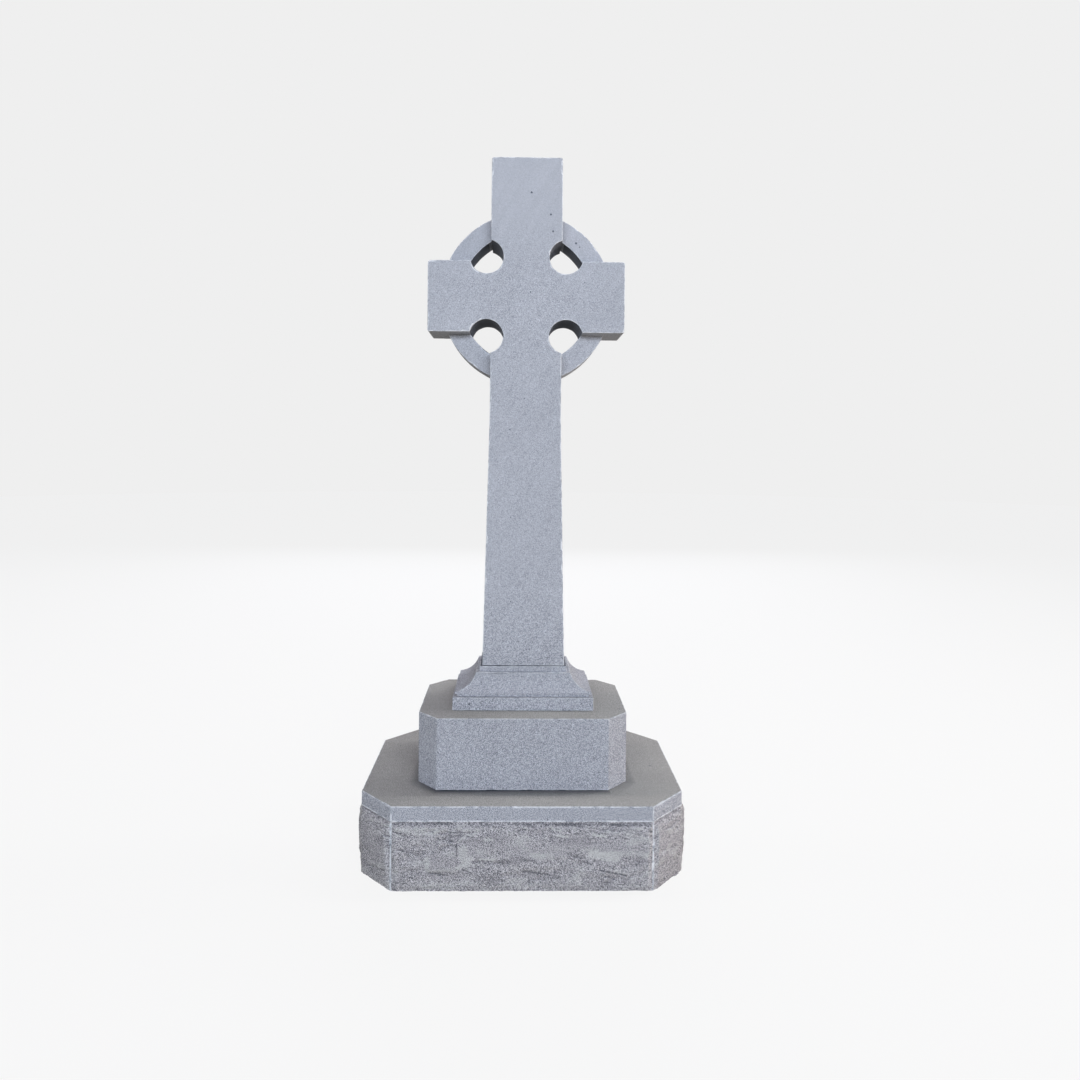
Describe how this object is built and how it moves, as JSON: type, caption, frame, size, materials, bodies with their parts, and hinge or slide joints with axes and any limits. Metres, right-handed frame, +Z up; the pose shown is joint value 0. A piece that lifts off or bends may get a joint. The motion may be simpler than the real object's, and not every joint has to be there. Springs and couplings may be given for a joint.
{
  "type": "ringed cross memorial",
  "caption": "Plain ringed stone cross on a moulded foot, a die block with canted corners and a rock-faced plinth; marks a grave and stands by its own weight.",
  "frame": {"origin": "middle of the plinth's underside", "axes": "+Z up, the front of the cross faces -Y, +X to the right as seen from the front"},
  "size_m": [0.624, 0.398, 1.3889],
  "materials": {
    "fine_dressed_stone": "blue-grey stone, sawn and finely bush-hammered to an even dark-and-light speckle, with pale bruised arrises",
    "rock_faced_stone": "the same blue-grey stone, smooth on top and on a margin band, pitched to a shallow layered rock face below, with pale drafted arrises"
  },
  "bodies": {
    "root": {"ringed_cross": "fine_dressed_stone", "moulded_foot": "fine_dressed_stone", "die_block": "fine_dressed_stone", "rock_faced_plinth": "rock_faced_stone"}
  },
  "joints": []
}
